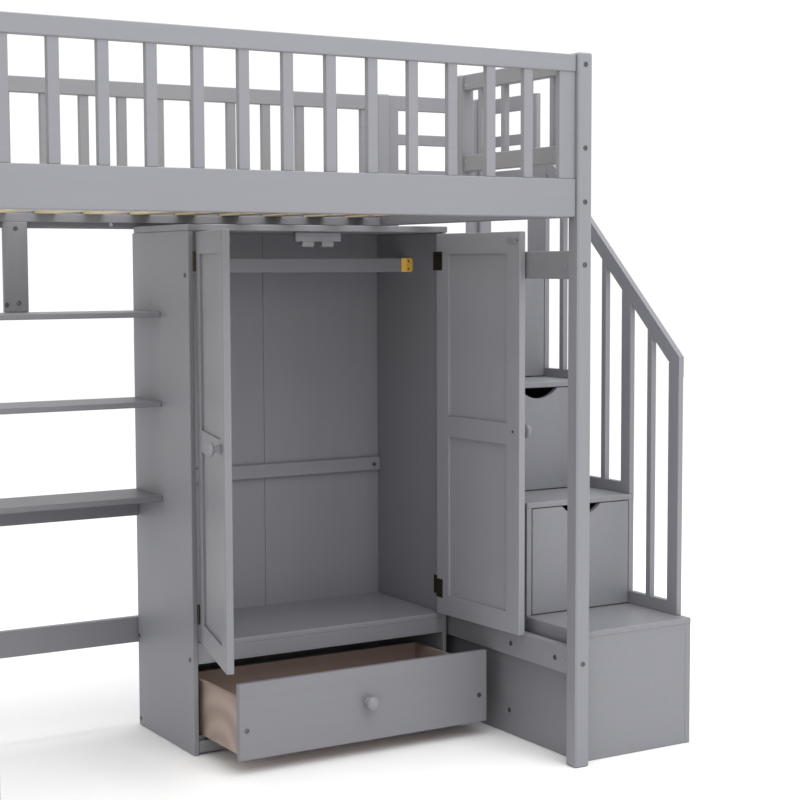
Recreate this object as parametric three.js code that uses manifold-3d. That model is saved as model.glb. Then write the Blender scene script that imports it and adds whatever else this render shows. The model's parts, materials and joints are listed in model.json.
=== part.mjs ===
// A loft bed: a railed bed deck on four posts, with a two-door wardrobe and its drawer, shelves
// and an L-shaped desk below it, and a staircase of stacked drawer boxes at the right end.
// Units are millimetres. X runs along the bed from its left end, Y from front to back, +Z is up.
// Everything is laid out from the left front corner at floor level, and the whole assembly is then
// moved so that the origin is the middle of its footprint.

import * as THREE from 'three';
import { mergeVertices } from 'three/addons/utils/BufferGeometryUtils.js';
import { ConvexGeometry } from 'three/addons/geometries/ConvexGeometry.js';
import Module from 'manifold-3d';

const wasm = await Module();
wasm.setup();

// ---- Driving dimensions ---------------------------------------------------------------------

const GAP = 0.3;                  // between pieces that rest on or butt against each other
const EASE = 2;                   // eased edge of a board
const BITE = 10;                  // how far a baluster's tenon runs into a rail
const RADIANS = Math.PI / 180;

// Bed frame
const BED_LENGTH = 1984;
const BED_DEPTH = 1072;
const BED_HEIGHT = 1880;
const POST = 45;
const RAIL_THICKNESS = 25;
const BEAM_HEIGHT = 98;
const BEAM_BOTTOM = 1458;
const BACK_DROP = 17;             // the back beam and rail sit this much lower than the front ones
const RAIL_HEIGHT = 44;
const RAIL_DROP = 5;              // from the posts' tops to the guard rails' tops
const LOW_RAIL_HEIGHT = 47;
const LOW_RAIL_BOTTOM = 1601;
const TIE_HEIGHT = 74;            // the tie rails near the floor and beside the staircase
const TIE_BOTTOM = 242;
const SIDE_TIE_BOTTOM = 1297;

// Guard panels
const BALUSTER_WIDTH = 27;
const BALUSTER_THICKNESS = 17;
const BALUSTER_PITCH = 114.2;
const BALUSTERS_ALONG = 15;
const END_STILE = 50;
const END_BALUSTER_WIDTH = 18;
const END_BALUSTER_START = 93;    // from a front post to the middle of the first end baluster
const ENTRY_FRONT = 556;          // front face of the post beside the way onto the bed

// Slatted deck
const SLAT_WIDTH = 56;
const SLAT_THICKNESS = 13;
const SLAT_PITCH = 140.75;
const SLAT_COUNT = 13;
const SLAT_FIRST = 132.6;         // from the bed's right end to the middle of the first slat
const LEDGE_DEPTH = 22;
const LEDGE_HEIGHT = 23;
const STRAP = { width: 22, thickness: 1.5, inset: 150 };

// Wardrobe
const PANEL = 15;
const RIGHT_SIDE = 13;            // the side panel against the staircase
const WARDROBE_WIDTH = 817;
const WARDROBE_CLEAR = 8;         // between the wardrobe and the tie rails at the bed's right end
const WARDROBE_DEPTH = 388.5;
const WARDROBE_SIDE = 1429;       // height of the side panels
const WARDROBE_TOP = 18;
const TOP_OVERHANG = 5;           // past the right side panel
const BACK_PANEL = 10;
const BACK_GROOVE = 4;            // width of the vee where the two back boards meet
const FLOOR_TOP = 311;
const FLOOR_RAIL_BOTTOM = 252.5;
const FLOOR_RAIL = 18;
const CLOTHES_RAIL = { front: 205, thickness: 18, bottom: 1315, height: 42 };
const BACK_RAIL = { bottom: 700, height: 42 };
const KICK_RAIL = { front: 2, thickness: 16, bottom: 6, top: 40 };
const RUNNER = { width: 30, height: 14, top: 50 };
const CATCH_BLOCK = { width: 144, height: 27, depth: 23, setback: 5 };
const CATCH = { width: 38, height: 15, spacing: 62 };

// Doors
const DOOR_THICKNESS = 20.5;
const DOOR_GAP = 2.6;             // beside, between and round the doors
const DOOR_LIFT = 3.5;            // above the wardrobe's floor, and below its top
const DOOR_FRAME = 59;            // width of the stiles and rails round each sunk panel
const DOOR_SINK = 6;              // depth of the sunk panels on either face
const LEFT_DOOR_OPEN = 105;
const RIGHT_DOOR_OPEN = 93.2;
const HINGE = { radius: 3.5, pin: 1.5, bore: 1.8, height: 54, plate: 0.8, leaf: 53, wrap: 31 };
const HINGE_LEVELS = { upper: 1347, lower: 391 };
const KNOB = { length: 38, headRadius: 19.5, neckRadius: 9, height: 878, drawerHeight: 150 };
const KNOB_INSET = { left: 46, right: 30 };   // from a door's free edge to its knob's middle

// Wardrobe drawer
const DRAWER_OPEN = 241.4;        // how far it stands pulled out
const DRAWER_FRONT = 18;
const DRAWER_FRONT_BOTTOM = 42;
const DRAWER_FRONT_TOP = 246;
const DRAWER_SIDE_GAP = 6;        // between the drawer's front and each side panel
const DRAWER_BOX = { inset: 9, depth: 350, bottom: 52, top: 203, wall: 12, base: 8 };

// Desk and shelves
const DESK_TOP = 695;
const DESK_THICKNESS = 16;
const DESK_WIDTH = 383;           // of the leg of the L along the bed's left end
const APRON = { height: 60, thickness: 18 };
const DESK_LEG = 45;
const SHELF_DEPTH = 195;
const SHELF_THICKNESS = 15.5;
const SHELF_TOPS = { upper: 1209, middle: 960 };
const HANGER = { left: 741, width: 69 };

// Staircase
const STAIR_WIDTH = 380;
const STAIR_GAP = 1;              // between the bed's posts and the staircase
const STAIR_LEFT_SIDE = 17;
const STAIR_SIDE = 18;
const STAIR_BACK = 12;
const TREAD = 16;
const FIRST_RISE = 354;
const RISE = 319;
const STEP_FRONTS = [36, 290.5, 499.5, 708.5];
const DRAWER_PLAY = 2.2;
const FACE_STEP = 1.2;            // how far the sides, and then the front panel, stand behind a tread's edge
const STEP_DRAWER = { front: 16, wall: 12, base: 8, inset: 4, low: 45, rear: 5 };
const GRIP = { halfWidth: 67, depth: 30, steps: 16 };

// Handrail and the guards round the top of the stairs
const GUARD = 17;                 // thickness of these boards
const NEWEL = { front: 77, width: 46 };
const MID_POST = { front: 291, width: 43 };
const HANDRAIL = { frontTop: 1079, slope: 0.9405, depth: 56 };
const HANDRAIL_BALUSTERS = [205.5, 417, 526, 626];
const HANDRAIL_BALUSTER_WIDTH = 20;
const FOOT_STRIP_HEIGHTS = [36, 32, 26];
const SIDE_BOARD_WIDTH = 97;
const GUARD_STILE = { front: 758, width: 41 };
const STAIR_RAILS = [[1816, 1862], [1710, 1743], [1601, 1633]];
const BACK_STILE = 38;

// ---- Values that follow -----------------------------------------------------------------------

const INSET = (POST - RAIL_THICKNESS) / 2;
const GUARD_TOP = BED_HEIGHT - RAIL_DROP;
const BEAM_TOP = BEAM_BOTTOM + BEAM_HEIGHT;
const LEDGE_TOP = BEAM_BOTTOM + LEDGE_HEIGHT;
const STAIR_LEFT = BED_LENGTH + STAIR_GAP;
const OVERALL_LENGTH = BED_LENGTH + STAIR_WIDTH;
const wardrobeRight = BED_LENGTH - INSET - RAIL_THICKNESS - WARDROBE_CLEAR;
const wardrobeLeft = wardrobeRight - WARDROBE_WIDTH;
const wardrobeBack = BED_DEPTH - POST - 0.5;
const wardrobeFront = wardrobeBack - WARDROBE_DEPTH;
const innerLeft = wardrobeLeft + PANEL;
const innerRight = wardrobeRight - RIGHT_SIDE;
const innerBack = wardrobeBack - BACK_PANEL;
const shelfBack = wardrobeBack - 1.5;
const shelfFront = shelfBack - SHELF_DEPTH;
const treadTops = STEP_FRONTS.map((front, step) => FIRST_RISE + step * RISE);

// ---- Materials --------------------------------------------------------------------------------

const paint = (color) => new THREE.MeshStandardMaterial({ color, roughness: 0.5, metalness: 0 });
const GREY = 0xa3a4a8;
const PINE = 0xe2d3ab;
const RAW_WOOD = 0xab8f80;
const BRONZE = 0x3a3430;

// ---- Solids -----------------------------------------------------------------------------------

/** Turns a closed three.js geometry into a solid that can be joined and cut. */
function solid(geometry) {
  const bare = geometry.clone();
  bare.deleteAttribute('normal');
  bare.deleteAttribute('uv');
  const merged = mergeVertices(bare, 1e-4);
  return new wasm.Manifold(new wasm.Mesh({
    numProp: 3,
    vertProperties: new Float32Array(merged.attributes.position.array),
    triVerts: new Uint32Array(merged.index.array),
  }));
}

/** Turns a solid back into a three.js geometry. */
function geometryOf(body) {
  const mesh = body.getMesh();
  const geometry = new THREE.BufferGeometry();
  geometry.setAttribute('position', new THREE.BufferAttribute(new Float32Array(mesh.vertProperties), 3));
  geometry.setIndex(new THREE.BufferAttribute(new Uint32Array(mesh.triVerts), 1));
  geometry.computeVertexNormals();
  return geometry;
}

/** A box between two coordinates on each axis, with its twelve edges and eight corners eased. */
function boxGeometry(xs, ys, zs, ease = EASE) {
  const points = [];
  for (const [x, dx] of [[xs[0], ease], [xs[1], -ease]]) {
    for (const [y, dy] of [[ys[0], ease], [ys[1], -ease]]) {
      for (const [z, dz] of [[zs[0], ease], [zs[1], -ease]]) {
        points.push(new THREE.Vector3(x, y + dy, z + dz));
        points.push(new THREE.Vector3(x + dx, y, z + dz));
        points.push(new THREE.Vector3(x + dx, y + dy, z));
      }
    }
  }
  return new ConvexGeometry(points);
}

const board = (xs, ys, zs, ease) => solid(boxGeometry(xs, ys, zs, ease));

/** A sharp-edged block, for cutting. */
function block(xs, ys, zs) {
  const geometry = new THREE.BoxGeometry(xs[1] - xs[0], ys[1] - ys[0], zs[1] - zs[0]);
  geometry.translate((xs[0] + xs[1]) / 2, (ys[0] + ys[1]) / 2, (zs[0] + zs[1]) / 2);
  return solid(geometry);
}

const joined = (pieces) => pieces.reduce((whole, piece) => whole.add(piece));

/** An outline drawn in the Y-Z plane and given a thickness along X. */
function plateAcrossX(outline, xs) {
  const shape = new THREE.Shape(outline.map(([y, z]) => new THREE.Vector2(y, z)));
  const geometry = new THREE.ExtrudeGeometry(shape, { depth: xs[1] - xs[0], bevelEnabled: false });
  const turn = new THREE.Matrix4().makeBasis(
    new THREE.Vector3(0, 1, 0), new THREE.Vector3(0, 0, 1), new THREE.Vector3(1, 0, 0));
  geometry.applyMatrix4(turn);
  geometry.translate(xs[0], 0, 0);
  return solid(geometry);
}

// ---- Assembly tree ----------------------------------------------------------------------------

const bed = new THREE.Group();

function addNode(name, body, color, parent = bed) {
  const mesh = new THREE.Mesh(geometryOf(body), paint(color));
  mesh.name = name;
  parent.add(mesh);
}

// ---- Bed frame --------------------------------------------------------------------------------

const leftPost = [0, POST];
const rightPost = [BED_LENGTH - POST, BED_LENGTH];
const frontPost = [0, POST];
const backPost = [BED_DEPTH - POST, BED_DEPTH];
const alongX = [POST + GAP, BED_LENGTH - POST - GAP];
const alongY = [POST + GAP, BED_DEPTH - POST - GAP];
const frontPlane = [INSET, INSET + RAIL_THICKNESS];
const backPlane = [BED_DEPTH - INSET - RAIL_THICKNESS, BED_DEPTH - INSET];
const leftPlane = frontPlane;
const rightPlane = [BED_LENGTH - INSET - RAIL_THICKNESS, BED_LENGTH - INSET];

function makePosts() {
  const front = [0, BED_HEIGHT];
  const back = [0, BED_HEIGHT - BACK_DROP];
  addNode('post_front_left', board(leftPost, frontPost, front, 4), GREY);
  addNode('post_front_right', board(rightPost, frontPost, front, 4), GREY);
  addNode('post_back_left', board(leftPost, backPost, back, 4), GREY);
  addNode('post_back_right', board(rightPost, backPost, back, 4), GREY);
}

/** The beams; a ledge for the slats is glued along the inside of each long one. */
function makeBeams() {
  const height = [BEAM_BOTTOM, BEAM_TOP];
  const lowered = height.map((z) => z - BACK_DROP);
  const ledge = [BEAM_BOTTOM, LEDGE_TOP - GAP];
  const frontLedge = board(alongX, [frontPlane[1] - 1, frontPlane[1] + LEDGE_DEPTH], ledge, 1);
  const backLedge = board(alongX, [backPlane[0] - LEDGE_DEPTH, backPlane[0] + 1], ledge, 1);
  addNode('beam_front', board(alongX, frontPlane, height).add(frontLedge), GREY);
  addNode('beam_back', board(alongX, backPlane, lowered).add(backLedge), GREY);
  addNode('beam_left', board(leftPlane, alongY, height), GREY);
  addNode('beam_right', board(rightPlane, alongY, height), GREY);
}

function makeTies() {
  const low = [TIE_BOTTOM, TIE_BOTTOM + TIE_HEIGHT];
  const side = [SIDE_TIE_BOTTOM, SIDE_TIE_BOTTOM + TIE_HEIGHT];
  const underDesk = [DESK_TOP - DESK_THICKNESS - GAP - TIE_HEIGHT, DESK_TOP - DESK_THICKNESS - GAP];
  addNode('tie_left_low', board(leftPlane, alongY, low), GREY);
  addNode('tie_left_desk', board(leftPlane, alongY, underDesk), GREY);
  addNode('tie_right_low', board(rightPlane, alongY, low), GREY);
  addNode('tie_right_high', board(rightPlane, alongY, side), GREY);
  addNode('tie_back_low', board(alongX, backPlane, low), GREY);
}

/** A long guard: a top rail, a stile at each end, and evenly spaced balusters standing on the beam. */
function makeLongGuard(name, plane, drop) {
  const top = GUARD_TOP - drop;
  const under = top - RAIL_HEIGHT;
  const foot = BEAM_TOP - drop + GAP;
  const middle = (plane[0] + plane[1]) / 2;
  const thin = [middle - BALUSTER_THICKNESS / 2, middle + BALUSTER_THICKNESS / 2];
  const height = [foot, under + BITE];
  const pieces = [board(alongX, plane, [under, top])];
  pieces.push(board([alongX[0], alongX[0] + END_STILE], thin, height, 1));
  pieces.push(board([alongX[1] - END_STILE, alongX[1]], thin, height, 1));
  const span = (BALUSTERS_ALONG - 1) * BALUSTER_PITCH;
  for (let i = 0; i < BALUSTERS_ALONG; i += 1) {
    const x = (BED_LENGTH - span) / 2 + i * BALUSTER_PITCH;
    pieces.push(board([x - BALUSTER_WIDTH / 2, x + BALUSTER_WIDTH / 2], thin, height, 1));
  }
  addNode(name, joined(pieces), GREY);
}

/** A guard across an end of the bed: two rails with balusters between them. */
function endGuard(plane, back) {
  const span = [POST + GAP, back];
  const under = GUARD_TOP - RAIL_HEIGHT;
  const lowTop = LOW_RAIL_BOTTOM + LOW_RAIL_HEIGHT;
  const middle = (plane[0] + plane[1]) / 2;
  const thin = [middle - BALUSTER_THICKNESS / 2, middle + BALUSTER_THICKNESS / 2];
  const pieces = [board(plane, span, [under, GUARD_TOP])];
  pieces.push(board(plane, span, [LOW_RAIL_BOTTOM, lowTop]));
  const half = END_BALUSTER_WIDTH / 2;
  for (let y = POST + END_BALUSTER_START; y + BALUSTER_PITCH / 2 < back; y += BALUSTER_PITCH) {
    pieces.push(board(thin, [y - half, y + half], [lowTop - BITE, under + BITE], 1));
  }
  return joined(pieces);
}

/** The left guard runs from post to post; the right one ends in a post beside the way in. */
function makeEndGuards() {
  addNode('guard_left', endGuard(leftPlane, BED_DEPTH - POST - GAP), GREY);
  const entry = board(rightPost, [ENTRY_FRONT, ENTRY_FRONT + POST], [BEAM_TOP + GAP, GUARD_TOP], 4);
  addNode('guard_right', endGuard(rightPlane, ENTRY_FRONT + BITE).add(entry), GREY);
}

/** The slats, held at their spacing by two woven straps that lie across their tops. */
function makeDeck() {
  const depth = [frontPlane[1] + 2, backPlane[0] - 2];
  const height = [LEDGE_TOP, LEDGE_TOP + SLAT_THICKNESS];
  const middles = Array.from({ length: SLAT_COUNT }, (_, i) => BED_LENGTH - SLAT_FIRST - i * SLAT_PITCH);
  const pieces = middles.map((x) => board([x - SLAT_WIDTH / 2, x + SLAT_WIDTH / 2], depth, height, 1.5));
  const strapX = [middles[SLAT_COUNT - 1] - 10, middles[0] + 10];
  const strapZ = [height[1] - 0.5, height[1] - 0.5 + STRAP.thickness];
  for (const front of [depth[0] + STRAP.inset, depth[1] - STRAP.inset - STRAP.width]) {
    pieces.push(board(strapX, [front, front + STRAP.width], strapZ, 0.3));
  }
  addNode('slat_deck', joined(pieces), PINE);
}

// ---- Wardrobe ---------------------------------------------------------------------------------

const betweenSides = [innerLeft + GAP, innerRight - GAP];

/** A side panel, with the runner that the drawer slides on. */
function makeWardrobeSide(name, xs, runnerXs) {
  const panel = board(xs, [wardrobeFront, wardrobeBack], [0, WARDROBE_SIDE]);
  const depth = [wardrobeFront + KICK_RAIL.front + KICK_RAIL.thickness + 2, innerBack - 1];
  const runner = board(runnerXs, depth, [RUNNER.top - RUNNER.height, RUNNER.top], 1);
  addNode(name, panel.add(runner), GREY);
}

function makeWardrobeCase() {
  const bite = 1;
  const leftRunner = [innerLeft - bite, innerLeft + RUNNER.width];
  const rightRunner = [innerRight - RUNNER.width, innerRight + bite];
  makeWardrobeSide('wardrobe_side_left', [wardrobeLeft, innerLeft], leftRunner);
  makeWardrobeSide('wardrobe_side_right', [innerRight, wardrobeRight], rightRunner);

  const topZ = [WARDROBE_SIDE + GAP, WARDROBE_SIDE + WARDROBE_TOP];
  const topX = [wardrobeLeft, wardrobeRight + TOP_OVERHANG];
  addNode('wardrobe_top', board(topX, [wardrobeFront, innerBack - GAP], topZ), GREY);

  const floor = board(betweenSides, [wardrobeFront, innerBack - GAP], [FLOOR_TOP - PANEL, FLOOR_TOP]);
  const railZ = [FLOOR_RAIL_BOTTOM, FLOOR_TOP - PANEL + 3];
  const rail = board(betweenSides, [wardrobeFront + 1, wardrobeFront + 1 + FLOOR_RAIL], railZ, 1);
  addNode('wardrobe_floor', floor.add(rail), GREY);

  const kickY = [wardrobeFront + KICK_RAIL.front, wardrobeFront + KICK_RAIL.front + KICK_RAIL.thickness];
  addNode('kick_rail', board(betweenSides, kickY, [KICK_RAIL.bottom, KICK_RAIL.top]), GREY);
}

/** The back panel covers the top's rear edge; a vee groove runs down it where its two boards meet. */
function makeWardrobeBack() {
  const panel = block(betweenSides, [innerBack, wardrobeBack], [KICK_RAIL.bottom, WARDROBE_SIDE + WARDROBE_TOP]);
  const middle = (innerLeft + innerRight) / 2;
  const outline = new THREE.Shape();
  outline.moveTo(middle - BACK_GROOVE / 2, innerBack - 1);
  outline.lineTo(middle + BACK_GROOVE / 2, innerBack - 1);
  outline.lineTo(middle, innerBack + BACK_GROOVE / 2);
  const cutter = new THREE.ExtrudeGeometry(outline, { depth: BED_HEIGHT, bevelEnabled: false });
  addNode('wardrobe_back', panel.subtract(solid(cutter)), GREY);

  const railZ = [BACK_RAIL.bottom, BACK_RAIL.bottom + BACK_RAIL.height];
  addNode('wardrobe_back_rail', board(betweenSides, [innerBack - GAP - PANEL, innerBack - GAP], railZ), GREY);
}

/** The flat rail that clothes hang on. */
function makeClothesRail() {
  const front = wardrobeFront + CLOTHES_RAIL.front;
  const railZ = [CLOTHES_RAIL.bottom, CLOTHES_RAIL.bottom + CLOTHES_RAIL.height];
  addNode('clothes_rail', board(betweenSides, [front, front + CLOTHES_RAIL.thickness], railZ), GREY);
}

/** The block under the top panel and its two roller catches, one for each door. */
function makeCatches() {
  const middle = (innerLeft + innerRight) / 2;
  const half = CATCH_BLOCK.width / 2;
  const front = wardrobeFront + DOOR_THICKNESS + CATCH_BLOCK.setback;
  const under = WARDROBE_SIDE - CATCH_BLOCK.height;
  const depth = [front, front + CATCH_BLOCK.depth];
  const pieces = [board([middle - half, middle + half], depth, [under, WARDROBE_SIDE - GAP])];
  for (const side of [-1, 1]) {
    const x = middle + side * CATCH.spacing / 2;
    const width = [x - CATCH.width / 2, x + CATCH.width / 2];
    pieces.push(board(width, [front + 2, front + CATCH_BLOCK.depth - 2], [under - CATCH.height, under + 2]));
  }
  addNode('catch_block', joined(pieces), GREY);
}

// ---- Doors ------------------------------------------------------------------------------------

/** A turned knob along -Y from its seat at the origin. */
function knobSolid() {
  const { length, headRadius, neckRadius } = KNOB;
  const profile = new THREE.Path();
  profile.moveTo(0, 0);
  profile.lineTo(neckRadius + 4, 0);
  profile.lineTo(neckRadius + 4, 3);
  profile.quadraticCurveTo(neckRadius - 1, 5, neckRadius, length * 0.45);
  profile.quadraticCurveTo(headRadius + 1, length * 0.5, headRadius, length * 0.72);
  profile.quadraticCurveTo(headRadius * 0.8, length, 0, length);
  const geometry = new THREE.LatheGeometry(profile.getPoints(5), 20);
  geometry.rotateX(Math.PI);
  return solid(geometry);
}

const barrelFront = HINGE.radius + GAP;   // from the hinge's axis to the faces behind its barrel

/** A round bar standing on the hinge's axis. */
function upright(radius, zs) {
  const geometry = new THREE.CylinderGeometry(radius, radius, zs[1] - zs[0], 16);
  geometry.rotateX(Math.PI / 2);
  geometry.translate(0, 0, (zs[0] + zs[1]) / 2);
  return solid(geometry);
}

const leafOuter = DOOR_GAP / 2 - GAP;     // from the hinge's axis to a leaf's outer face

/** The leaf of a hinge on one side of its axis, clear of the other leaf's knuckles. */
function hingeLeaf(side, reach, zs, otherKnuckles) {
  const xs = [side * (leafOuter - HINGE.plate), side * leafOuter].sort((a, b) => a - b);
  const leaf = block(xs, [(HINGE.bore + HINGE.radius) / 2 - 0.4, reach], zs);
  return otherKnuckles.reduce((rest, span) => rest.subtract(upright(barrelFront, span)), leaf);
}

/** Both halves of a hinge: the fixed one carries the pin, the other wraps round the door's edge. */
function hingeSolids(middle, side) {
  const [low, high] = [middle - HINGE.height / 2, middle + HINGE.height / 2];
  const third = HINGE.height / 3;
  const knuckle = [low + third, high - third];
  const ends = [[low, knuckle[0] - GAP], [knuckle[1] + GAP, high]];
  let fixed = upright(HINGE.pin, [low + 1, high - 1]);
  ends.forEach((span) => {
    fixed = fixed.add(upright(HINGE.radius, span));
  });
  fixed = fixed.add(hingeLeaf(-side, HINGE.leaf, [low, high], [[knuckle[0] - GAP, knuckle[1] + GAP]]));
  const sleeve = upright(HINGE.radius, knuckle).subtract(upright(HINGE.bore, [low, high]));
  const others = [[low - 1, knuckle[0]], [knuckle[1], high + 1]];
  const inside = barrelFront + DOOR_THICKNESS + GAP;
  const wrapX = [side * (leafOuter - HINGE.plate), side * HINGE.wrap].sort((a, b) => a - b);
  const wrap = block(wrapX, [inside, inside + HINGE.plate], [low, high]);
  const leaf = hingeLeaf(side, inside + HINGE.plate, [low, high], others);
  return { fixed, moving: sleeve.add(leaf).add(wrap) };
}

/** A framed door with two sunk panels on each face, drawn shut with its hinge axis at the origin. */
function doorSolid(side, width, zs) {
  const near = DOOR_GAP / 2;
  const across = (a, b) => [side * a, side * b].sort((p, q) => p - q);
  const ys = [barrelFront, barrelFront + DOOR_THICKNESS];
  let door = board(across(near, near + width), ys, zs);
  const middle = (zs[0] + zs[1]) / 2;
  const sunk = [[zs[0] + DOOR_FRAME, middle - DOOR_FRAME / 2], [middle + DOOR_FRAME / 2, zs[1] - DOOR_FRAME]];
  const panelX = across(near + DOOR_FRAME, near + width - DOOR_FRAME);
  for (const panelZ of sunk) {
    door = door.subtract(block(panelX, [ys[0] - 1, ys[0] + DOOR_SINK], panelZ));
    door = door.subtract(block(panelX, [ys[1] - DOOR_SINK, ys[1] + 1], panelZ));
  }
  return door;
}

/** A door with its knob and two hinges, turned open about its hinge axis. */
function makeDoor(word, side, axisX, opening) {
  const clear = innerRight - innerLeft;
  const width = (clear - 3 * DOOR_GAP) / 2;
  const zs = [FLOOR_TOP + DOOR_LIFT, WARDROBE_SIDE - DOOR_LIFT];
  const jamb = new THREE.Group();
  jamb.position.set(axisX, wardrobeFront - barrelFront, 0);
  bed.add(jamb);
  const leaf = new THREE.Group();
  leaf.rotation.z = -side * opening * RADIANS;
  jamb.add(leaf);
  addNode(`door_${word}`, doorSolid(side, width, zs), GREY, leaf);
  const knobX = side * (DOOR_GAP / 2 + width - KNOB_INSET[word]);
  const knob = knobSolid().translate([knobX, barrelFront - GAP, KNOB.height]);
  addNode(`knob_${word}`, knob, GREY, leaf);
  for (const [level, middle] of Object.entries(HINGE_LEVELS)) {
    const { fixed, moving } = hingeSolids(middle, side);
    addNode(`hinge_${word}_${level}_fixed`, fixed, BRONZE, jamb);
    addNode(`hinge_${word}_${level}_leaf`, moving, BRONZE, leaf);
  }
}

// ---- Wardrobe drawer --------------------------------------------------------------------------

/** An open box: four walls and a base, as one body. */
function trayOf(xs, ys, zs, wall, base) {
  const inner = block([xs[0] + wall, xs[1] - wall], [ys[0] + wall, ys[1] - wall], [zs[0] + base, zs[1] + 1]);
  return board(xs, ys, zs, 1).subtract(inner);
}

function makeDrawer() {
  const drawer = new THREE.Group();
  drawer.position.y = -DRAWER_OPEN;
  bed.add(drawer);
  const faceX = [innerLeft + DRAWER_SIDE_GAP, innerRight - DRAWER_SIDE_GAP];
  const faceY = [wardrobeFront, wardrobeFront + DRAWER_FRONT];
  const faceZ = [DRAWER_FRONT_BOTTOM, DRAWER_FRONT_TOP];
  addNode('drawer_front', board(faceX, faceY, faceZ), GREY, drawer);
  const boxX = [faceX[0] + DRAWER_BOX.inset, faceX[1] - DRAWER_BOX.inset];
  const boxY = [faceY[1] + GAP, faceY[1] + GAP + DRAWER_BOX.depth];
  const tray = trayOf(boxX, boxY, [DRAWER_BOX.bottom, DRAWER_BOX.top], DRAWER_BOX.wall, DRAWER_BOX.base);
  addNode('drawer_box', tray, RAW_WOOD, drawer);
  const knobX = (faceX[0] + faceX[1]) / 2;
  addNode('drawer_knob', knobSolid().translate([knobX, faceY[0] - GAP, KNOB.drawerHeight]), GREY, drawer);
}

// ---- Desk and shelves -------------------------------------------------------------------------

function makeDesk() {
  const deskZ = [DESK_TOP - DESK_THICKNESS, DESK_TOP];
  const left = leftPlane[0] + 1;
  const right = left + DESK_WIDTH;
  const front = POST + 1;
  const shelfX = [left, wardrobeLeft - GAP];
  addNode('desk_top', board([left, right], [front, shelfFront - GAP], deskZ), GREY);
  addNode('desk_return', board(shelfX, [shelfFront, shelfBack], deskZ), GREY);
  const apronX = [POST + 1, wardrobeLeft - GAP];
  const apronZ = [deskZ[0] - GAP - APRON.height, deskZ[0] - GAP];
  addNode('desk_apron', board(apronX, [shelfBack - APRON.thickness, shelfBack], apronZ), GREY);
  const legX = [right - DESK_LEG, right];
  addNode('desk_leg', board(legX, [front, front + DESK_LEG], [0, deskZ[0] - GAP], 3), GREY);
}

function makeShelves() {
  const depth = [shelfFront, shelfBack];
  const endX = [POST + 1, POST + 1 + PANEL];
  const shelfX = [endX[1] + GAP, wardrobeLeft - GAP];
  for (const [name, top] of Object.entries(SHELF_TOPS)) {
    addNode(`shelf_${name}`, board(shelfX, depth, [top - SHELF_THICKNESS, top]), GREY);
  }
  addNode('shelf_end_board', board(endX, depth, [DESK_TOP + GAP, SHELF_TOPS.upper]), GREY);
  const hangX = [HANGER.left, HANGER.left + HANGER.width];
  const hangZ = [SHELF_TOPS.upper + GAP, BEAM_BOTTOM - GAP];
  addNode('hanging_board', board(hangX, [shelfBack - PANEL, shelfBack], hangZ), GREY);
}

// ---- Staircase --------------------------------------------------------------------------------

const stairX = [STAIR_LEFT, BED_LENGTH + STAIR_WIDTH];
const wellX = [stairX[0] + STAIR_LEFT_SIDE, stairX[1] - STAIR_SIDE];

/** One box of the staircase: two sides and a back under a tread, open below and at the front. */
function makeStepBox(step) {
  const front = STEP_FRONTS[step];
  const ys = [front, BED_DEPTH];
  const top = treadTops[step];
  const foot = step === 0 ? 0 : treadTops[step - 1] + GAP;
  const wallZ = [foot, top - TREAD + 2];
  const sideY = [front + FACE_STEP, BED_DEPTH];
  const pieces = [board(stairX, ys, [top - TREAD, top])];
  pieces.push(board([stairX[0] + 0.6, wellX[0]], sideY, wallZ, 1));
  pieces.push(board([wellX[1], stairX[1] - 0.6], sideY, wallZ, 1));
  pieces.push(board([stairX[0] + 3, stairX[1] - 3], [BED_DEPTH - STAIR_BACK, BED_DEPTH], wallZ, 1));
  if (step === 0) {
    const panelY = [front + 2 * FACE_STEP, front + 2 * FACE_STEP + STAIR_SIDE];
    pieces.push(board([wellX[0] - 5, wellX[1] + 5], panelY, wallZ, 1));
  }
  addNode(`step_box_${step + 1}`, joined(pieces), GREY);
}

/** The half-moon finger grip that is cut from the top edge of a drawer's front. */
function gripCutter(middle, front, top) {
  const { halfWidth, depth, steps } = GRIP;
  const radius = (halfWidth ** 2 + depth ** 2) / (2 * depth);
  const reach = Math.asin(halfWidth / radius);
  const points = [];
  for (let i = 0; i <= steps; i += 1) {
    const angle = -reach + (2 * reach * i) / steps;
    const rise = radius * (1 - Math.cos(angle));
    points.push(new THREE.Vector2(middle + radius * Math.sin(angle), top - depth + rise));
  }
  points.push(new THREE.Vector2(middle + halfWidth, top + 5));
  points.push(new THREE.Vector2(middle - halfWidth, top + 5));
  const geometry = new THREE.ExtrudeGeometry(new THREE.Shape(points), { depth: 60, bevelEnabled: false });
  geometry.rotateX(Math.PI / 2);
  geometry.translate(0, front + 30, 0);
  return solid(geometry);
}

function makeStepDrawer(step) {
  const { front: face, wall, base, inset, low, rear } = STEP_DRAWER;
  const front = STEP_FRONTS[step];
  const bottom = treadTops[step - 1] + DRAWER_PLAY;
  const top = treadTops[step] - TREAD - DRAWER_PLAY;
  const faceX = [wellX[0] + DRAWER_PLAY, wellX[1] - DRAWER_PLAY];
  const cutter = gripCutter((faceX[0] + faceX[1]) / 2, front, top);
  const panel = board(faceX, [front, front + face], [bottom, top]).subtract(cutter);
  const boxX = [faceX[0] + inset, faceX[1] - inset];
  const boxY = [front + face - 1, BED_DEPTH - STAIR_BACK - rear];
  const tray = trayOf(boxX, boxY, [bottom, top - low], wall, base);
  addNode(`step_drawer_${step}`, panel.add(tray), GREY);
}

// ---- Handrail and stair guards ----------------------------------------------------------------

const guardX = [stairX[1] - GUARD, stairX[1]];

const handrailTop = (y) => HANDRAIL.frontTop + (y - NEWEL.front) * HANDRAIL.slope;

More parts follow.
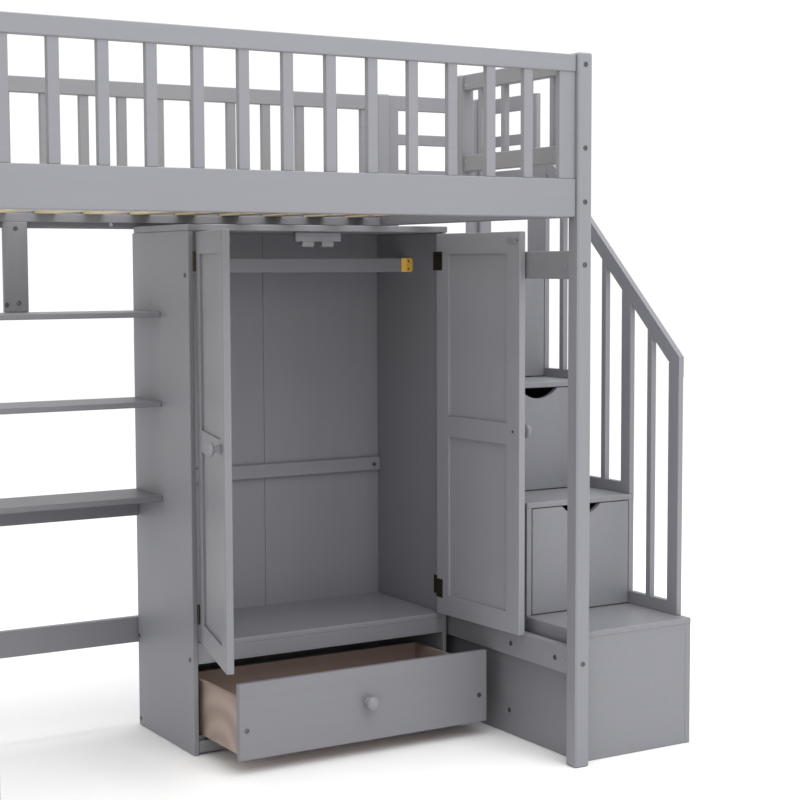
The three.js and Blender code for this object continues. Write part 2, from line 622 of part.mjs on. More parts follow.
/** The sloping handrail with its newel, middle post, balusters and the strips at their feet. */
function makeHandrail() {
  const upper = STEP_FRONTS[3] - GAP;
  const outline = [
    [NEWEL.front, handrailTop(NEWEL.front) - HANDRAIL.depth],
    [upper, handrailTop(upper) - HANDRAIL.depth],
    [upper, handrailTop(upper)],
    [NEWEL.front, handrailTop(NEWEL.front)],
  ];
  const pieces = [plateAcrossX(outline, guardX)];
  const stepUnder = (y) => STEP_FRONTS.filter((front) => front <= y).length - 1;
  const stand = (front, width, ease) => {
    const foot = treadTops[stepUnder(front)] + GAP;
    const head = handrailTop(front) - HANDRAIL.depth * 0.3;
    pieces.push(board(guardX, [front, front + width], [foot, head], ease));
  };
  stand(NEWEL.front, NEWEL.width, EASE);
  stand(MID_POST.front, MID_POST.width, EASE);
  for (const middle of HANDRAIL_BALUSTERS) {
    stand(middle - HANDRAIL_BALUSTER_WIDTH / 2, HANDRAIL_BALUSTER_WIDTH, 1);
  }
  FOOT_STRIP_HEIGHTS.forEach((height, step) => {
    const start = step === 0 ? NEWEL.front + 1 : STEP_FRONTS[step] + 1;
    const foot = treadTops[step] + GAP;
    pieces.push(board(guardX, [start, STEP_FRONTS[step + 1] - GAP], [foot, foot + height], 1));
  });
  addNode('handrail', joined(pieces), GREY);
}

/** The guard on the open side of the top step, on a board that stands on that step. */
function makeOuterGuard() {
  const landing = treadTops[3] + GAP;
  const [, railTop] = STAIR_RAILS[0];
  const start = STEP_FRONTS[3];
  const stileY = [GUARD_STILE.front, GUARD_STILE.front + GUARD_STILE.width];
  const boardTop = handrailTop(start);
  const pieces = [board(guardX, [start, start + SIDE_BOARD_WIDTH], [landing, boardTop])];
  pieces.push(board(guardX, stileY, [boardTop - BITE, railTop]));
  for (const zs of STAIR_RAILS) {
    pieces.push(board(guardX, [stileY[1] - BITE, backPost[0] - GAP], zs));
  }
  addNode('stair_guard_side', joined(pieces), GREY);
}

/** The guard across the back of the top step: three rails, two stiles and the corner post. */
function makeBackGuard() {
  const landing = treadTops[3] + GAP;
  const xs = [STAIR_LEFT, stairX[1] - POST + 1];
  const middle = (backPost[0] + backPost[1]) / 2;
  const plane = [middle - GUARD / 2, middle + GUARD / 2];
  const [railBottom] = STAIR_RAILS[0];
  const pieces = STAIR_RAILS.map((zs) => board(xs, plane, zs));
  pieces.push(board([xs[0], xs[0] + BACK_STILE], plane, [landing, railBottom + BITE]));
  pieces.push(board([xs[1] - BACK_STILE, xs[1]], plane, [landing, railBottom + BITE]));
  const cornerZ = [landing, STAIR_RAILS[0][1] + 4];
  pieces.push(board([stairX[1] - POST, stairX[1]], backPost, cornerZ, 3));
  addNode('stair_guard_back', joined(pieces), GREY);
}

// ---- Putting it together ----------------------------------------------------------------------

makePosts();
makeBeams();
makeTies();
makeLongGuard('guard_front', frontPlane, 0);
makeLongGuard('guard_back', backPlane, BACK_DROP);
makeEndGuards();
makeDeck();

makeWardrobeCase();
makeWardrobeBack();
makeClothesRail();
makeCatches();
makeDoor('left', 1, innerLeft + DOOR_GAP / 2, LEFT_DOOR_OPEN);
makeDoor('right', -1, innerRight - DOOR_GAP / 2, RIGHT_DOOR_OPEN);
makeDrawer();

makeDesk();
makeShelves();

[0, 1, 2, 3].forEach(makeStepBox);
[1, 2, 3].forEach(makeStepDrawer);
makeHandrail();
makeOuterGuard();
makeBackGuard();

bed.position.set(-OVERALL_LENGTH / 2, -BED_DEPTH / 2, 0);
bed.updateMatrixWorld(true);

export default bed;
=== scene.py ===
# %% [markdown]
# # A loft bed with a wardrobe, a desk and a staircase of drawers
# The boards, joints and sizes come from the CAD model, which is loaded here as a fixed frame.
# This lesson gives every board its finish, adds the small fittings that hold the bed together,
# and then sets up the camera and the studio.

# %% Load the frame
import json
import math

import bmesh
import bpy
from mathutils import Matrix, Vector


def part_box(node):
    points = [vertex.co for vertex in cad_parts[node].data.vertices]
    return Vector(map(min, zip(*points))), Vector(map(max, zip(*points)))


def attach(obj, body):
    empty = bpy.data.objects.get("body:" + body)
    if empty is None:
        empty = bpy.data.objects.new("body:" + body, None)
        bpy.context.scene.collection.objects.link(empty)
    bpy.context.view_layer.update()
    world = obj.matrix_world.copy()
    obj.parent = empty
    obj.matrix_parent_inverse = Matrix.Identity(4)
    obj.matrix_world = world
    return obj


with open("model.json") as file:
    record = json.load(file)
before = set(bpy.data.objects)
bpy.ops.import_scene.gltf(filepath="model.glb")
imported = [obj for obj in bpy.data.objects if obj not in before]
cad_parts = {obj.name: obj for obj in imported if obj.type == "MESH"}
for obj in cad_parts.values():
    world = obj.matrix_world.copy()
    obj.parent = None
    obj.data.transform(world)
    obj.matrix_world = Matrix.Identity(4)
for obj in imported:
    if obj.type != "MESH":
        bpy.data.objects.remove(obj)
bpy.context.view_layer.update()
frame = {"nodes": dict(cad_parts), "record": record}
nodes = frame["nodes"]
bpy.ops.object.select_all(action="DESELECT")

# %% [markdown]
# The camera stands in front of the bed and to its left, at about chest height, and looks
# slightly down. Its direction is built from three numbers, a turn, a tilt and a small roll, so
# that each can be changed alone. A long lens keeps the posts nearly parallel.

# %% Camera
CAMERA_PLACE = Vector((-1.9422, -4.1289, 1.33195))
CAMERA_TURN = math.radians(31.003)
CAMERA_TILT = math.radians(4.451)
CAMERA_ROLL = math.radians(0.1985)
SENSOR_MM = 36.0
LENS_MM = 77.259
VIEW_REACH = 60.0


def camera_axes(turn, tilt, roll):
    """Returns the camera's right, up and backward directions as the columns of a matrix."""
    level = math.cos(tilt)
    ahead = Vector((math.sin(turn) * level, math.cos(turn) * level, -math.sin(tilt)))
    level_right = Vector((math.cos(turn), -math.sin(turn), 0.0))
    level_down = ahead.cross(level_right)
    right = math.cos(roll) * level_right + math.sin(roll) * level_down
    down = -math.sin(roll) * level_right + math.cos(roll) * level_down
    return Matrix((right, -down, -ahead)).transposed()


camera_data = bpy.data.cameras.new("camera")
camera_data.sensor_width = SENSOR_MM
camera_data.lens = LENS_MM
camera_data.clip_end = VIEW_REACH
camera = bpy.data.objects.new("camera", camera_data)
bpy.context.scene.collection.objects.link(camera)
axes = camera_axes(CAMERA_TURN, CAMERA_TILT, CAMERA_ROLL)
camera.matrix_world = Matrix.Translation(CAMERA_PLACE) @ axes.to_4x4()
bpy.context.scene.camera = camera
print("camera at", [round(v, 3) for v in CAMERA_PLACE])

# %% [markdown]
# Shader maths reads best as ordinary sums. `Wire` stands for one output of a node, and Python's
# operators on it add Math nodes. `Finish` holds one material, and its `node` method is the only
# way that any other node is made: settings first, and then the sockets.


# %% Shader helpers
class Wire:
    """One output of a node, which can be used in sums."""

    def __init__(self, finish, socket):
        self.finish = finish
        self.socket = socket

    def _math(self, operation, first, second):
        return self.finish.node("ShaderNodeMath", {"operation": operation}, {0: first, 1: second})

    def __add__(self, other):
        return self._math("ADD", self, other)

    def __radd__(self, other):
        return self._math("ADD", other, self)

    def __mul__(self, other):
        return self._math("MULTIPLY", self, other)

    def __rmul__(self, other):
        return self._math("MULTIPLY", other, self)


class Finish:
    """A material whose nodes are made one by one and feed a Principled shader."""

    def __init__(self, name):
        self.material = bpy.data.materials.new(name)
        self.material.use_nodes = True
        self.tree = self.material.node_tree
        self.tree.nodes.clear()
        self.shader = self.tree.nodes.new("ShaderNodeBsdfPrincipled")
        output = self.tree.nodes.new("ShaderNodeOutputMaterial")
        self.tree.links.new(self.shader.outputs[0], output.inputs["Surface"])

    def connect(self, socket, value):
        if isinstance(value, Wire):
            self.tree.links.new(value.socket, socket)
        else:
            socket.default_value = value

    def node(self, kind, settings=None, inputs=None, output=0):
        made = self.tree.nodes.new(kind)
        for name, value in (settings or {}).items():
            setattr(made, name, value)
        for name, value in (inputs or {}).items():
            self.connect(made.inputs[name], value)
        return Wire(self, made.outputs[output])

    def place(self, scale=(1.0, 1.0, 1.0)):
        """The piece's own coordinates in metres, with a scale for each axis."""
        own = self.node("ShaderNodeTexCoord", output="Object")
        return self.node("ShaderNodeMapping", inputs={"Vector": own, "Scale": scale})

    def noise(self, vector, scale, detail=3.0, roughness=0.5):
        sockets = {"Vector": vector, "Scale": scale, "Detail": detail, "Roughness": roughness}
        return self.node("ShaderNodeTexNoise", inputs=sockets)

    def blend(self, amount, first, second):
        """A colour between two others. A Mix node's two colours are its inputs 6 and 7."""
        sockets = {"Factor": amount, 6: first, 7: second}
        return self.node("ShaderNodeMix", {"data_type": "RGBA"}, sockets, output=2)

    def finish(self, color, roughness, bump=None, bump_depth=0.0004, metallic=0.0):
        self.connect(self.shader.inputs["Base Color"], color)
        self.connect(self.shader.inputs["Roughness"], roughness)
        if bump is not None:
            sockets = {"Height": bump, "Distance": bump_depth, "Strength": 1.0}
            self.connect(self.shader.inputs["Normal"], self.node("ShaderNodeBump", inputs=sockets))
        self.connect(self.shader.inputs["Metallic"], metallic)
        return self.material


# %% [markdown]
# The bed is painted a satin grey. Paint on wood is never one flat colour: the grain lifts it in
# fine lines that run along each board, the coat is a little thicker in places, and the sheen
# wanders. So the pattern is stretched along the grain, and there is one version for each way
# that a board can run.

# %% Painted wood
PAINT_LIGHT = (0.232, 0.234, 0.255, 1.0)
PAINT_DARK = (0.196, 0.198, 0.218, 1.0)
LINE_GRAIN = (2.2, 60.0)
PORE_GRAIN = (14.0, 420.0)


def grain_scale(axis, along, across):
    """A pattern's scale for each axis: small along the grain and large across it."""
    return tuple(along if name == axis else across for name in "XYZ")


def shade_of(color, share):
    """A colour made darker or lighter, with its alpha left at 1."""
    return tuple(share * part for part in color[:3]) + (1.0,)


def painted_wood(axis, share):
    light, dark = shade_of(PAINT_LIGHT, share), shade_of(PAINT_DARK, share)
    paint = Finish(f"grey_paint_{axis.lower()}_{round(100 * share)}")
    lines = paint.noise(paint.place(grain_scale(axis, *LINE_GRAIN)), 1.0, 5.0, 0.62)
    pores = paint.noise(paint.place(grain_scale(axis, *PORE_GRAIN)), 1.0, 2.0)
    cloud = paint.noise(paint.place(), 2.6, 2.0)
    speck = paint.noise(paint.place(), 900.0, 1.0)
    tone = lines * 0.55 + cloud * 0.45
    color = paint.blend(tone, dark, light)
    roughness = 0.38 + 0.16 * cloud + 0.06 * pores
    height = lines * 0.55 + pores * 0.3 + speck * 0.1
    return paint.finish(color, roughness, height)


paints = {}


def grey_paint(axis, share=1.0):
    """The paint for one way of the grain, made the first time that it is asked for."""
    if (axis, share) not in paints:
        paints[axis, share] = painted_wood(axis, share)
    return paints[axis, share]


print("plain paint", [grey_paint(axis).name for axis in "XYZ"])

# %% [markdown]
# The slats are bare pine. Pine shows broad growth bands with thin darker lines, so a wave
# pattern is bent by a noise before it is coloured. The drawer's box is a browner, plainer board
# with short open pores.


# %% Bare wood
def bare_wood(name, axis, pale, deep, band_scale, bend):
    wood = Finish(name)
    stretched = wood.place(grain_scale(axis, 1.4, 9.0))
    bands = wood.node(
        "ShaderNodeTexWave",
        {"wave_type": "RINGS", "rings_direction": axis},
        {"Vector": stretched, "Scale": band_scale, "Distortion": bend,
         "Detail": 2.5, "Detail Scale": 1.2},
        output="Fac",
    )
    fibres = wood.noise(wood.place(grain_scale(axis, 6.0, 300.0)), 1.0, 3.0, 0.6)
    cloud = wood.noise(wood.place(), 3.0, 2.0)
    tone = bands * 0.45 + fibres * 0.35 + cloud * 0.2
    color = wood.blend(tone, deep, pale)
    return wood.finish(color, 0.55 + 0.15 * fibres, fibres * 0.6 + bands * 0.3)


PINE_PALE, PINE_DEEP = (0.80, 0.70, 0.50, 1.0), (0.56, 0.42, 0.24, 1.0)
BOX_PALE, BOX_DEEP = (0.42, 0.33, 0.287, 1.0), (0.235, 0.172, 0.142, 1.0)
pine = bare_wood("bare_pine", "Y", PINE_PALE, PINE_DEEP, band_scale=1.6, bend=4.0)
box_wood = bare_wood("drawer_board", "X", BOX_PALE, BOX_DEEP, band_scale=0.5, bend=3.0)
print("bare woods", pine.name, box_wood.name)


# %% [markdown]
# Hinges are dark bronze: a brown-black coat that has worn a little brighter where it is touched.
# Bolts and screws are duller grey steel, door plates and nuts a paler plated steel, and the clothes
# rail's brackets yellow zinc. One function gives all four, because each is a coat over a brighter
# metal that shows in patches.


# %% Metals
def worn_metal(name, coat, bare, wear, roughness, metallic):
    metal = Finish(name)
    patch = metal.noise(metal.place(), 160.0, 4.0, 0.6)
    fine = metal.noise(metal.place(), 1400.0, 2.0)
    rubbed = metal.node("ShaderNodeMath", {"operation": "GREATER_THAN"}, {0: patch, 1: 1.0 - wear})
    color = metal.blend(0.25 * patch + 0.5 * rubbed, coat, bare)
    return metal.finish(color, roughness + 0.2 * fine, fine, 0.00005, metallic)


# name: coat colour, bare colour, share that is worn, roughness, metallic
METALS = {
    "dark_bronze": ((0.055, 0.042, 0.030, 1.0), (0.20, 0.15, 0.10, 1.0), 0.36, 0.38, 1.0),
    "dark_steel": ((0.095, 0.095, 0.10, 1.0), (0.30, 0.30, 0.31, 1.0), 0.4, 0.34, 1.0),
    "plate_steel": ((0.30, 0.30, 0.31, 1.0), (0.50, 0.50, 0.51, 1.0), 0.4, 0.4, 0.4),
    "yellow_zinc": ((0.95, 0.60, 0.08, 1.0), (1.0, 0.80, 0.30, 1.0), 0.5, 0.30, 0.35),
}
bronze, steel, plate_steel, zinc = (worn_metal(name, *look) for name, look in METALS.items())
print("metals", list(METALS))

# %% [markdown]
# Each board gets the version of the paint whose grain runs along its longest side. The real paint
# is one colour. A few boards here are mixed a shade lighter or darker, only to make up for how
# much or how little of the two lamps falls on them, so under other lights they would want a share
# of 1, and the two doors above all.

# %% Give every board its finish
SPECIAL = {"slat_deck": pine, "drawer_box": box_wood}
LAMP_SHARE = {
    "door_right": 1.22,
    "door_left": 0.92,
    "desk_top": 0.85,
    "desk_return": 0.8,
    "desk_apron": 0.8,
    "drawer_front": 0.87,
    "step_box_1": 0.92,
}


def longest_side(name):
    low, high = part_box(name)
    size = high - low
    return "XYZ"[max(range(3), key=lambda i: size[i])]


def finish_of(name):
    if name.startswith("hinge_"):
        return bronze
    return SPECIAL.get(name) or grey_paint(longest_side(name), LAMP_SHARE.get(name, 1.0))


for name, board in nodes.items():
    finish = finish_of(name)
    board.data.materials.clear()
    board.data.materials.append(finish)
print("finished", len(nodes), "boards and fittings")

# %% [markdown]
# The small fittings are modelled as by hand: a primitive is opened in edit mode, some of its faces
# or edges are picked by their place or direction, and an operator shapes them. These helpers
# do the opening and the picking, so that each later step reads as one line.


# %% Editing helpers
MM = 0.001


def start_editing(piece):
    """Puts the piece's place and size into its mesh, and opens it with nothing selected."""
    bpy.ops.object.select_all(action="DESELECT")
    bpy.context.view_layer.objects.active = piece
    piece.select_set(True)
    bpy.ops.object.transform_apply(location=True, rotation=True, scale=True)
    bpy.ops.object.mode_set(mode="EDIT")
    bpy.ops.mesh.select_all(action="DESELECT")


def pick(piece, kind, test):
    """Selects the faces or edges of a piece in edit mode that pass a test, and no others."""
    bpy.ops.mesh.select_mode(type="FACE" if kind == "faces" else "EDGE")
    mesh = bmesh.from_edit_mesh(piece.data)
    for face in mesh.faces:
        face.select_set(False)
    for edge in mesh.edges:
        edge.select_set(False)
    for part in [part for part in getattr(mesh, kind) if test(part)]:
        part.select_set(True)
    bmesh.update_edit_mesh(piece.data)


def push(distance):
    """Extrudes the selected faces along Z."""
    bpy.ops.mesh.extrude_region_move(TRANSFORM_OT_translate={"value": (0.0, 0.0, distance)})


print("one millimetre is", MM)

# %% [markdown]
# The bed is held together by bolts whose flat round heads sit on the posts and rails, each with
# a six-sided socket for a key. The rails show the cross-slotted nuts that the bolts screw into,
# and the hinges, brackets and door plates have small cross-headed screws. All three are one idea:
# a short cylinder whose top is inset, and whose inset face is drawn into a hexagon or a cross
# before it is pushed in. A boolean cut would give the same socket with an untidier mesh. One
# master of each stands on the floor at the origin, and its copies are turned to their places.


# %% Fastener masters
HEXAGON, CROSS = 6, 4
SIXTH = math.pi / 3
CROSS_WAIST = 0.7


def socket_reach(corners, angle):
    """How far a hexagon's edge, or a cross's, lies from its middle, as a share of its corner."""
    if corners == HEXAGON:
        return math.cos(SIXTH / 2) / math.cos(angle % SIXTH - SIXTH / 2)
    return 1.0 - CROSS_WAIST * abs(math.sin(2 * angle))


def fastener(name, radius, height, socket, corners):
    middle = (0.0, 0.0, height / 2)
    bpy.ops.mesh.primitive_cylinder_add(vertices=24, radius=radius, depth=height, location=middle)
    head = bpy.context.object
    head.name = name
    start_editing(head)
    pick(head, "edges", lambda edge: all(v.co.z > 0.9 * height for v in edge.verts))
    bpy.ops.mesh.bevel(offset=0.35 * height, segments=2, affect="EDGES")
    pick(head, "faces", lambda face: face.normal.z > 0.99)
    bpy.ops.mesh.inset(thickness=0.25 * radius)
    inner = [face for face in bmesh.from_edit_mesh(head.data).faces if face.select]
    for corner in {vertex for face in inner for vertex in face.verts}:
        angle = math.atan2(corner.co.y, corner.co.x) % math.tau
        reach = socket * socket_reach(corners, angle)
        corner.co.x, corner.co.y = reach * math.cos(angle), reach * math.sin(angle)
    push(-0.55 * height)
    bpy.ops.object.mode_set(mode="OBJECT")
    return head


bolt_master = fastener("bolt_master", 6.6 * MM, 1.6 * MM, 3.4 * MM, HEXAGON)
nut_master = fastener("nut_master", 5.0 * MM, 1.0 * MM, 3.2 * MM, CROSS)
screw_master = fastener("screw_master", 3.6 * MM, 0.9 * MM, 2.2 * MM, CROSS)
print("bolt head faces", len(bolt_master.data.polygons))

# %% [markdown]
# A bolt's place is given on the board that it goes through: the board's name, the side that the
# head is on, and how far it is from the board's corner along that side and up it, in millimetres.
# So a bolt moves when its board does, and it rides on the body of its board.


# %% Copies of a master
# side: its axis, and whether it is the far side
SIDES = {"-X": (0, 0), "+X": (0, 1), "-Y": (1, 0), "+Y": (1, 1)}
behaviour = frame["record"]["behaviour"]
body_of = {node: body for body, members in behaviour["bodies"].items() for node in members}


def copy_of(master, name, matrix, finish, body):
    """A copy with its own mesh, whose place is in the mesh, riding on a body."""
    mesh = master.data.copy()
    mesh.transform(matrix)
    mesh.materials.clear()
    mesh.materials.append(finish)
    piece = bpy.data.objects.new(name, mesh)
    bpy.context.scene.collection.objects.link(piece)
    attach(piece, body)
    return piece


def facing(*direction):
    """A turn that points a master's top in a direction."""
    return Vector(direction).to_track_quat("Z", "Y").to_matrix().to_4x4()


def place_on(node, side, along, up, sunk=0.0):
    """The matrix that stands a master's base on one side of a board."""
    low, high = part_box(node)
    axis, far = SIDES[side]
    spot = Vector(low)
    spot[axis] = (high if far else low)[axis] + (-sunk if far else sunk) * MM
    spot[1 - axis] += along * MM
    spot.z += up * MM
    outward = [0.0, 0.0, 0.0]
    outward[axis] = 1.0 if far else -1.0
    return Matrix.Translation(spot) @ facing(*outward)


def bolt(node, side, along, up, sunk=0.0, kind="bolt"):
    master, finish = (nut_master, plate_steel) if kind == "nut" else (bolt_master, steel)
    name = f"{kind}_{node}_{side[1].lower()}{round(along)}_{round(up)}"
    matrix = place_on(node, side, along, up, sunk)
    return copy_of(master, name, matrix, finish, body_of[node])


# %% [markdown]
# Each corner post takes bolts from two sides: the rails that run from front to back are bolted
# through its front or back face, and the long rails and beams through its outer face.

# %% Bolts in the posts
post_low, post_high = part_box("post_front_right")
HALF_POST = (post_high.x - post_low.x) / 2 / MM


def middle_height(name):
    """The height of a board's middle, in millimetres from the floor."""
    low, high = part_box(name)
    return (low.z + high.z) / 2 / MM


BEAM_BOLT_DROP = 10.0
GUARD_RAIL_HEIGHTS = [1636.0, 1850.0]
BACK_GUARD_DROP = 17.0
end_heights = GUARD_RAIL_HEIGHTS + [middle_height("tie_right_low")]
end_heights.append(middle_height("beam_right") - BEAM_BOLT_DROP)
for post in ("post_front_left", "post_front_right", "post_back_left", "post_back_right"):
    end_face = "-Y" if "front" in post else "+Y"
    outer_face = "-X" if "left" in post else "+X"
    tie_height = middle_height("tie_right_high" if "right" in post else "tie_left_desk")
    for height in end_heights + [tie_height]:
        bolt(post, end_face, HALF_POST, height)
    guard_height = GUARD_RAIL_HEIGHTS[-1] - (BACK_GUARD_DROP if "back" in post else 0.0)
    for height in (middle_height("beam_front"), guard_height):
        bolt(post, outer_face, HALF_POST, height)

# %% [markdown]
# The rails show the round nuts that the bolts screw into, near their ends, and the panels show
# the heads that hold them to their neighbours. They follow no even spacing, so their places are
# a plain list and no formula.

# %% Bolts in the rails and panels
# board, side, along from its corner, up from its lower edge, sunk below its box, kind
RAIL_BOLTS = [
    ("tie_right_low", "-X", 25.0, 36.0, 0.0, "nut"),
    ("tie_right_low", "-X", 62.0, 36.0),
    ("tie_right_low", "-X", 270.0, 35.0),
    ("tie_right_high", "-X", 19.5, 37.0, 0.0, "nut"),
    ("beam_right", "-X", 541.0, 15.0, 0.0, "nut"),
    ("guard_right", "-X", 499.5, 288.0, 10.0, "nut"),
    ("guard_right", "-X", 499.5, 73.0, 10.0, "nut"),
    ("beam_back", "-Y", 1010.7, 11.5, 0.0, "nut"),
    ("hanging_board", "-Y", 6.5, 21.0),
    ("hanging_board", "-Y", 41.0, 26.0),
    ("hanging_board", "-Y", 35.0, 230.0),
    ("wardrobe_back_rail", "-Y", 766.0, 19.0),
    ("wardrobe_back_rail", "-Y", 22.0, 19.0),
    ("wardrobe_side_left", "-X", 22.0, 263.0),
    ("wardrobe_side_left", "-X", 377.0, 266.0),
    ("wardrobe_side_left", "-X", 377.0, 21.0),
    ("wardrobe_side_left", "-X", 22.0, 1310.0),
    ("drawer_front", "-Y", 21.6, 79.0),
    ("drawer_front", "-Y", 750.0, 78.0),
    ("step_box_1", "-X", 339.0, 69.0, 0.6),
]
for place in RAIL_BOLTS:
    bolt(*place)
print("bolts in rails and panels", len(RAIL_BOLTS))

# %% [markdown]
# A door's fittings are placed on the door while it is shut, in the hinge's own frame, and then
# turned with it. The hinge's place and the way that the door stands open are read from its joint.

# %% Door frames of reference
joints = {joint["name"]: joint for joint in behaviour["joints"]}
# how far a shut door's inner face lies behind its hinge's axis
DOOR_FACE = 24.3 * MM
# which end of the joint's range shuts the door, and which way the door runs from its hinge
SHUT_LIMIT = {"left": 1, "right": 0}
HAND = {"left": 1.0, "right": -1.0}


def door_frame(word):
    """The hinge's place, turned as the open door is, so that X runs along it."""
    joint = joints[f"door_{word}_hinge"]
    opened = -math.radians(joint["range_deg"][SHUT_LIMIT[word]])
    axis = Vector((joint["pos_m"][0], joint["pos_m"][1], 0.0))
    return Matrix.Translation(axis) @ Matrix.Rotation(opened, 4, "Z")


def on_door(word, along, height, proud=0.0):
    """A place on a door's inner face, its base on the face and its top towards the wardrobe."""
    spot = Vector((HAND[word] * along * MM, DOOR_FACE + proud * MM, height * MM))
    return door_frame(word) @ Matrix.Translation(spot) @ facing(0.0, 1.0, 0.0)


openings = [joints[f"door_{word}_hinge"]["range_deg"][SHUT_LIMIT[word]] for word in HAND]
print("degrees to shut the doors", openings)

# %% [markdown]
# Near its top corner each door carries a small steel plate that the roller catch grips. It is a
# strip with rounded ends and a raised rib, so it starts as a flat block whose corners are
# bevelled, and whose top face is then inset and pushed up.


# %% Catch plates
def flat_plate(name, length, width, thick, corner, rim, rise):
    """A plate lying on the floor, with rounded corners and a raised middle."""
    middle = (0.0, 0.0, thick / 2)
    bpy.ops.mesh.primitive_cube_add(size=1.0, location=middle, scale=(length, width, thick))
    plate = bpy.context.object
    plate.name = name
    start_editing(plate)
    pick(plate, "edges", lambda edge: abs(edge.verts[0].co.z - edge.verts[1].co.z) > 0.5 * thick)
    bpy.ops.mesh.bevel(offset=corner, segments=4, affect="EDGES")
    pick(plate, "faces", lambda face: face.normal.z > 0.99)
    bpy.ops.mesh.inset(thickness=rim)
    push(rise)
    bpy.ops.object.mode_set(mode="OBJECT")
    return plate


PLATE = {"length": 14 * MM, "width": 49 * MM, "thick": 1.2 * MM}
PLATE_EDGE = {"corner": 3 * MM, "rim": 4 * MM, "rise": 1.6 * MM}
plate_master = flat_plate("plate_master", **PLATE, **PLATE_EDGE)
CATCH_PLACE = {"along": 361.0, "height": 1401.0, "screw_spread": 20.0}
KNOB_ALONG = {"left": 346.0, "right": 362.0}
LYING = Matrix.Rotation(math.pi / 2, 4, "Z")
for word in HAND:
    leaf = f"door_{word}_leaf"
    spot = on_door(word, CATCH_PLACE["along"], CATCH_PLACE["height"])
    copy_of(plate_master, f"catch_plate_{word}", spot @ LYING, plate_steel, leaf)
    for shift in (-CATCH_PLACE["screw_spread"], CATCH_PLACE["screw_spread"]):
        along, proud = CATCH_PLACE["along"] + shift, PLATE["thick"] / MM
        spot = on_door(word, along, CATCH_PLACE["height"], proud)
        copy_of(screw_master, f"catch_screw_{word}_{round(shift)}", spot, steel, leaf)
    spot = on_door(word, KNOB_ALONG[word], middle_height(f"knob_{word}"))
    copy_of(screw_master, f"knob_screw_{word}", spot, steel, leaf)
print("catch plates", len(HAND))

# %% [markdown]
# Each hinge is screwed to the door through the part that wraps round its edge, and to the side
# panel through its long leaf. The screws are bronze like the hinge.

# %% Hinge screws
SCREW_SPREAD = 17.0
# millimetres along the door, or in from the leaf's end, and out from the wood to the screw's base
WRAP = {"along": 20.0, "proud": 1.1}
LEAF = {"inset": 9.0, "proud": 0.8}
panel_face = {word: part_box("wardrobe_back")[0 if word == "left" else 1].x for word in HAND}


def on_panel(word, y, height, proud=0.0):
    """A place on the inner face of one of the wardrobe's side panels."""
    spot = Vector((panel_face[word] + HAND[word] * proud * MM, y, height * MM))
    return Matrix.Translation(spot) @ facing(HAND[word], 0.0, 0.0)


hinge_screws = 0
for word in HAND:
    for level in ("upper", "lower"):
        fixed = f"hinge_{word}_{level}_fixed"
        leaf_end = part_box(fixed)[1].y
        for end, shift in (("low", -SCREW_SPREAD), ("high", SCREW_SPREAD)):
            name = f"hinge_screw_{word}_{level}_{end}"
            height = middle_height(fixed) + shift
            spot = on_door(word, WRAP["along"], height, WRAP["proud"])
            copy_of(screw_master, f"{name}_door", spot, bronze, f"door_{word}_leaf")
            spot = on_panel(word, leaf_end - LEAF["inset"] * MM, height, LEAF["proud"])
            copy_of(screw_master, f"{name}_panel", spot, bronze, "frame")
            hinge_screws += 2
print("hinge screws", hinge_screws)

# %% [markdown]
# The clothes rail hangs on two angle brackets of yellow zinc. The long leg lies on the side panel
# in front of the rail and the short leg on the rail's face. A bracket is one folded plate, so it
# is modelled as a flat block that is cut near one end, where a strip is pushed out for the fold.


# %% Rail brackets
BRACKET = {"reach": 39 * MM, "height": 42 * MM, "thick": 1.6 * MM, "foot": 14 * MM}
BRACKET_CORNER = 9 * MM
BRACKET_RIB = {"rim": 6 * MM, "rise": 1.2 * MM}
BRACKET_SCREW = {"proud": 2.8 * MM, "back": 19.5 * MM, "rise": 11.0}
RAIL_CLEAR = 0.2 * MM


def bracket(name):
    """An angle bracket: its long leg lies on the floor and its short leg stands at its +X end."""
    reach, height, thick = BRACKET["reach"], BRACKET["height"], BRACKET["thick"]
    middle = (-reach / 2, 0.0, thick / 2)
    bpy.ops.mesh.primitive_cube_add(size=1.0, location=middle, scale=(reach, height, thick))
    angle = bpy.context.object
    angle.name = name
    start_editing(angle)
    bpy.ops.mesh.select_all(action="SELECT")
    bpy.ops.mesh.bisect(plane_co=(-thick, 0.0, 0.0), plane_no=(1.0, 0.0, 0.0))

    def upward(face):
        return face.normal.z > 0.99

    def upright(edge):
        return abs(edge.verts[0].co.z - edge.verts[1].co.z) > 0.5 * thick

    pick(angle, "faces", lambda face: upward(face) and face.calc_center_median().x > -thick)
    push(BRACKET["foot"])
    pick(angle, "edges", lambda edge: upright(edge) and edge.verts[0].co.x < -0.9 * reach)
    bpy.ops.mesh.bevel(offset=BRACKET_CORNER, segments=5, affect="EDGES")
    pick(angle, "faces", lambda face: upward(face) and face.calc_center_median().x < -2 * thick)
    bpy.ops.mesh.inset(thickness=BRACKET_RIB["rim"])
    push(BRACKET_RIB["rise"])
    bpy.ops.object.mode_set(mode="OBJECT")
    return angle


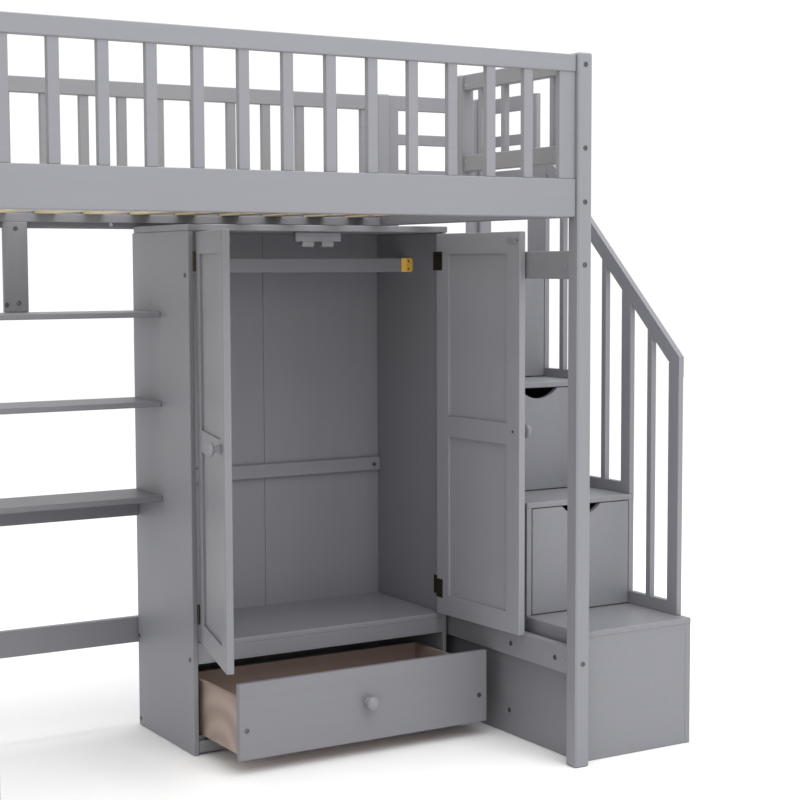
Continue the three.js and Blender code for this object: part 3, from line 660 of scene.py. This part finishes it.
bracket_master = bracket("bracket_master")
rail_low, rail_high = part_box("clothes_rail")
rail_middle = (rail_low.z + rail_high.z) / 2
for word, hand in HAND.items():
    spot = Matrix.Translation((panel_face[word], rail_low.y - RAIL_CLEAR, rail_middle))
    # the master's top turns to face inward, and its +X end to face the rail
    turn = Matrix(((0, 0, hand), (1, 0, 0), (0, hand, 0))).to_4x4()
    copy_of(bracket_master, f"rail_bracket_{word}", spot @ turn, zinc, "frame")
    for rise in (-BRACKET_SCREW["rise"], BRACKET_SCREW["rise"]):
        place = (hand * BRACKET_SCREW["proud"], -BRACKET_SCREW["back"], rise * MM)
        seat = spot @ Matrix.Translation(place) @ turn
        copy_of(screw_master, f"bracket_screw_{word}_{round(rise)}", seat, steel, "frame")
for master in (bolt_master, nut_master, screw_master, plate_master, bracket_master):
    bpy.data.objects.remove(master)
print("brackets at", round(rail_middle, 3))

# %% [markdown]
# The studio is a pale floor under a soft white sky. The sky is just bright enough for the floor
# to turn pure white away from the bed, so no horizon shows. One large lamp stands in front of the
# bed and to its right, so that fronts are brightest and the sides that face left are in soft
# shade, and a larger one hangs above to light the treads and the slats.

# %% Studio
FLOOR_DROP = 0.5 * MM
FLOOR_DARK, FLOOR_LIGHT = (0.95, 0.95, 0.95, 1.0), (0.97, 0.97, 0.97, 1.0)
SKY_STRENGTH = 1.06
bpy.ops.mesh.primitive_plane_add(size=60.0, location=(0.0, 0.0, -FLOOR_DROP))
floor = bpy.context.object
floor.name = "studio_floor"
floor_paint = Finish("studio_floor")
floor_cloud = floor_paint.noise(floor_paint.place(), 0.7, 1.0)
floor_tone = floor_paint.blend(floor_cloud, FLOOR_DARK, FLOOR_LIGHT)
floor.data.materials.append(floor_paint.finish(floor_tone, 0.9))

world = bpy.data.worlds.new("studio")
bpy.context.scene.world = world
world.use_nodes = True
sky = world.node_tree.nodes["Background"]
sky.inputs["Color"].default_value = (1.0, 1.0, 1.0, 1.0)
sky.inputs["Strength"].default_value = SKY_STRENGTH
bpy.context.scene.view_settings.view_transform = "Standard"


def lamp(name, place, target, size, watts):
    """A square lamp of a size in metres, turned to face a target."""
    data = bpy.data.lights.new(name, "AREA")
    data.shape = "SQUARE"
    data.size = size
    data.energy = watts
    made = bpy.data.objects.new(name, data)
    made.location = place
    made.rotation_euler = (Vector(target) - Vector(place)).to_track_quat("-Z", "Y").to_euler()
    bpy.context.scene.collection.objects.link(made)


lamp("front_lamp", (0.9, -3.9, 4.4), (0.0, 0.0, 0.9), 3.0, 90.0)
lamp("top_lamp", (0.0, -0.6, 5.2), (0.0, 0.0, 0.0), 4.0, 130.0)
print("lamps", [light.name for light in bpy.data.lights])

# %% [markdown]
# Looks must not change the bed's size. Last, the scene is brought up to date.

# %% Finish
bpy.context.view_layer.update()
